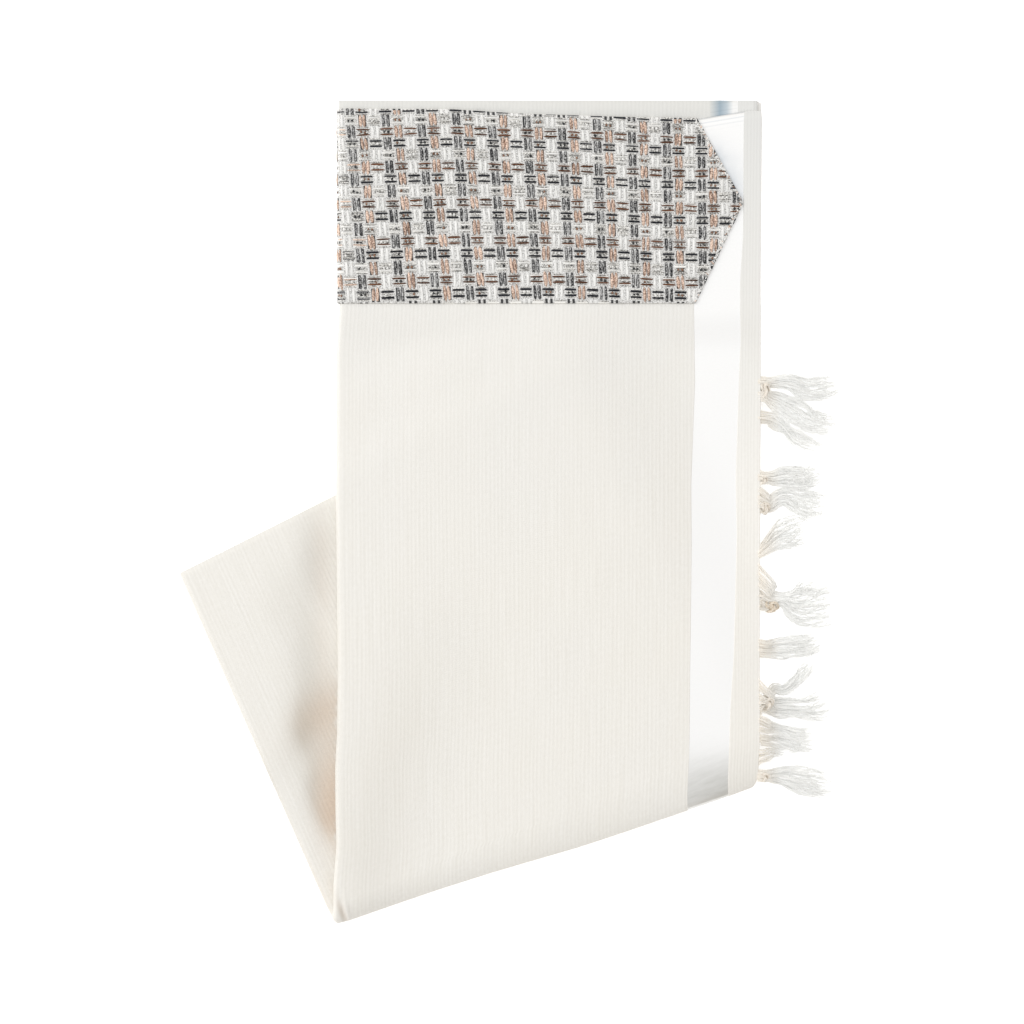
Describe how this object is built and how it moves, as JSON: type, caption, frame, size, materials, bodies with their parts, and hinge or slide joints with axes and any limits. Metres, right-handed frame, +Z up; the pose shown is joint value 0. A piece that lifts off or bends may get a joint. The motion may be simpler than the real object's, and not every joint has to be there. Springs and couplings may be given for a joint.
{
  "type": "folded tallit (prayer shawl)",
  "caption": "White ribbed tallit with satin stripe, tweed collar band and knotted end fringe, folded into a strip and once on a slant, lying flat.",
  "frame": {"origin": "centre of the underside of the folded shawl, fringe included, on the surface it lies on", "axes": "+Y along the upper run of the folded strip, from the slanted fold towards the collar band; +X towards the fringe; +Z up"},
  "size_m": [0.3528, 0.4361, 0.0155],
  "materials": {
    "ribbed_cloth": "fine lengthwise ribs, soft and matt",
    "satin": "satin weave with a silvery sheen",
    "border_cloth": "plain matt weave",
    "tweed": "coarse basket-weave tweed of soft yarns",
    "fringe_thread": "soft twisted thread"
  },
  "bodies": {
    "root": {"body_cloth": "ribbed_cloth", "hidden_layers": "ribbed_cloth", "satin_stripe": "satin", "end_border": "border_cloth", "atara": "tweed", "tassel_01": "fringe_thread", "tassel_02": "fringe_thread", "tassel_03": "fringe_thread", "tassel_04": "fringe_thread", "tassel_05": "fringe_thread", "tassel_06": "fringe_thread", "tassel_07": "fringe_thread", "tassel_08": "fringe_thread", "tassel_09": "fringe_thread", "tassel_10": "fringe_thread", "tassel_11": "fringe_thread", "tassel_12": "fringe_thread"}
  },
  "joints": []
}
